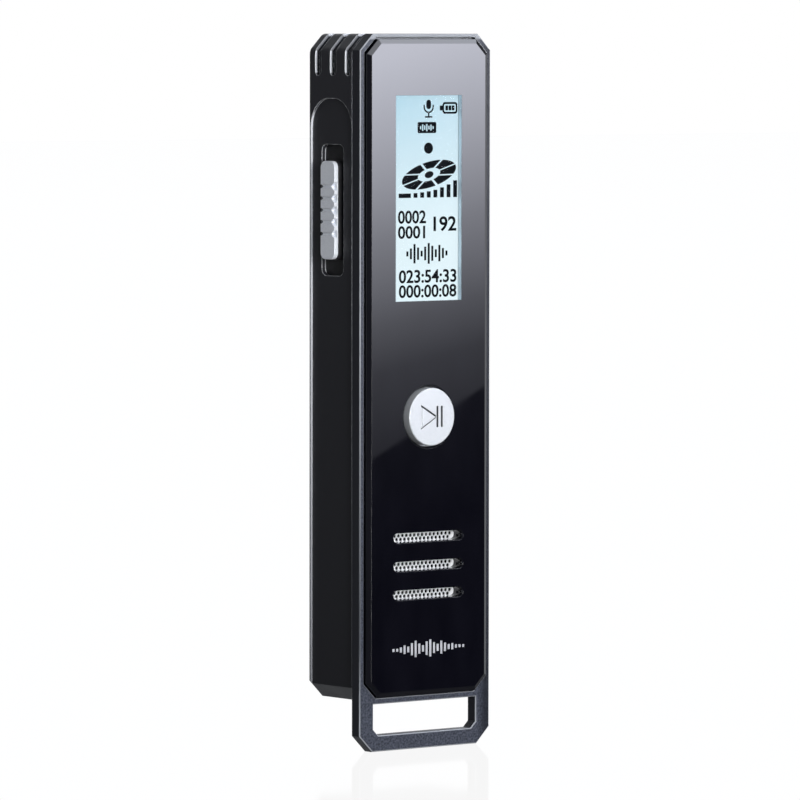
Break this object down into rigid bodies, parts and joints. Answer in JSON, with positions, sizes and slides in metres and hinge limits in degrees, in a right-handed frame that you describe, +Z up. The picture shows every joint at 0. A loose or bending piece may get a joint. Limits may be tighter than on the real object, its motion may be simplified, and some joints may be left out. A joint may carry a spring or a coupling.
{
  "type": "handheld voice recorder",
  "caption": "Slim handheld voice recorder with a front display, play button, sound slots, side record slider, side keys and a lanyard loop.",
  "frame": {"origin": "middle of the base of the bounding box, under the lanyard loop", "axes": "+Z up along the length, +X to the right seen from the display, display facing -Y"},
  "size_m": [0.0241, 0.0132, 0.1],
  "materials": {
    "frame_paint": "satin gun-metal paint over a zinc casting",
    "shell_paint": "satin black paint",
    "panel_gloss": "polished black acrylic",
    "window_clear": "polished clear acrylic",
    "tape_black": "matte adhesive film",
    "grille_steel": "perforated stainless sheet",
    "felt_black": "thin dust felt",
    "foam_grey": "soft closed-cell foam",
    "speaker_plastic": "moulded black plastic",
    "cone_film": "thin formed film",
    "magnet_nickel": "nickel plated",
    "wire_insulation": "soft wire insulation",
    "boot_rubber": "soft black rubber",
    "mic_can": "drawn metal can",
    "lcd_glass": "display glass with polariser",
    "guide_plastic": "milky light guide",
    "holder_plastic": "moulded white plastic",
    "ribbon_film": "copper on polyimide film",
    "button_metal": "spun and bright anodised",
    "switch_metal": "pressed steel",
    "switch_plastic": "moulded nylon",
    "knob_metal": "bright satin plating",
    "carrier_plastic": "moulded black plastic",
    "key_plastic": "painted moulded keys",
    "board_green": "solder mask over glass laminate",
    "chip_black": "moulded package",
    "crystal_can": "steel can",
    "resistor_ceramic": "ceramic chips",
    "battery_foil": "laminated foil pouch",
    "plug_nylon": "natural nylon",
    "jack_plastic": "moulded black plastic",
    "contact_gold": "gold plated springs",
    "socket_steel": "folded steel shell",
    "tongue_plastic": "moulded black plastic",
    "screw_black": "black zinc plated steel"
  },
  "bodies": {
    "case": {"front_frame": "frame_paint", "rear_shell": "shell_paint", "front_panel": "panel_gloss", "display_window": "window_clear", "panel_adhesive": "tape_black", "speaker_mesh": "grille_steel", "dust_felt": "felt_black", "speaker_gasket": "foam_grey", "battery_tape": "foam_grey", "speaker_basket": "speaker_plastic", "speaker_cone": "cone_film", "speaker_magnet": "magnet_nickel", "speaker_leads": "wire_insulation", "battery_leads": "wire_insulation", "mic_boot_left": "boot_rubber", "mic_boot_right": "boot_rubber", "microphone_left": "mic_can", "microphone_right": "mic_can", "lcd_glass": "lcd_glass", "lcd_backlight": "guide_plastic", "lcd_holder": "holder_plastic", "lcd_flex": "ribbon_film", "board_flex": "ribbon_film", "play_switch_base": "switch_metal", "record_switch_body": "switch_metal", "key_switches": "switch_plastic", "main_board": "board_green", "usb_board": "board_green", "processor_chip": "chip_black", "memory_chip": "chip_black", "audio_codec": "chip_black", "crystal": "crystal_can", "resistors": "resistor_ceramic", "battery": "battery_foil", "battery_plug": "plug_nylon", "headphone_jack": "jack_plastic", "jack_contacts": "contact_gold", "usb_socket": "socket_steel", "usb_tongue": "tongue_plastic", "case_screws": "screw_black"},
    "play": {"play_button": "button_metal", "play_switch_plunger": "switch_plastic"},
    "rec_slider": {"rec_slider_knob": "knob_metal", "rec_slider_carrier": "carrier_plastic", "record_switch_actuator": "switch_plastic"},
    "volume_up": {"volume_up_key": "key_plastic", "volume_up_plunger": "switch_plastic"},
    "volume_down": {"volume_down_key": "key_plastic", "volume_down_plunger": "switch_plastic"},
    "next": {"next_key": "key_plastic", "next_plunger": "switch_plastic"},
    "previous": {"previous_key": "key_plastic", "previous_plunger": "switch_plastic"}
  },
  "joints": [
    {"name": "play_press", "type": "slide", "parent": "case", "child": "play", "axis": [0, 1, 0], "range_m": [0, 0.0003], "stiffness_N_per_m": 400, "springref_m": -0.0003},
    {"name": "rec_slide", "type": "slide", "parent": "case", "child": "rec_slider", "axis": [0, 0, 1], "range_m": [-0.002, 0.002]},
    {"name": "volume_up_press", "type": "slide", "parent": "case", "child": "volume_up", "axis": [-1, 0, 0], "range_m": [0, 0.0003], "stiffness_N_per_m": 400, "springref_m": -0.0003},
    {"name": "volume_down_press", "type": "slide", "parent": "case", "child": "volume_down", "axis": [-1, 0, 0], "range_m": [0, 0.0003], "stiffness_N_per_m": 400, "springref_m": -0.0003},
    {"name": "next_press", "type": "slide", "parent": "case", "child": "next", "axis": [-1, 0, 0], "range_m": [0, 0.0003], "stiffness_N_per_m": 400, "springref_m": -0.0003},
    {"name": "previous_press", "type": "slide", "parent": "case", "child": "previous", "axis": [-1, 0, 0], "range_m": [0, 0.0003], "stiffness_N_per_m": 400, "springref_m": -0.0003}
  ]
}
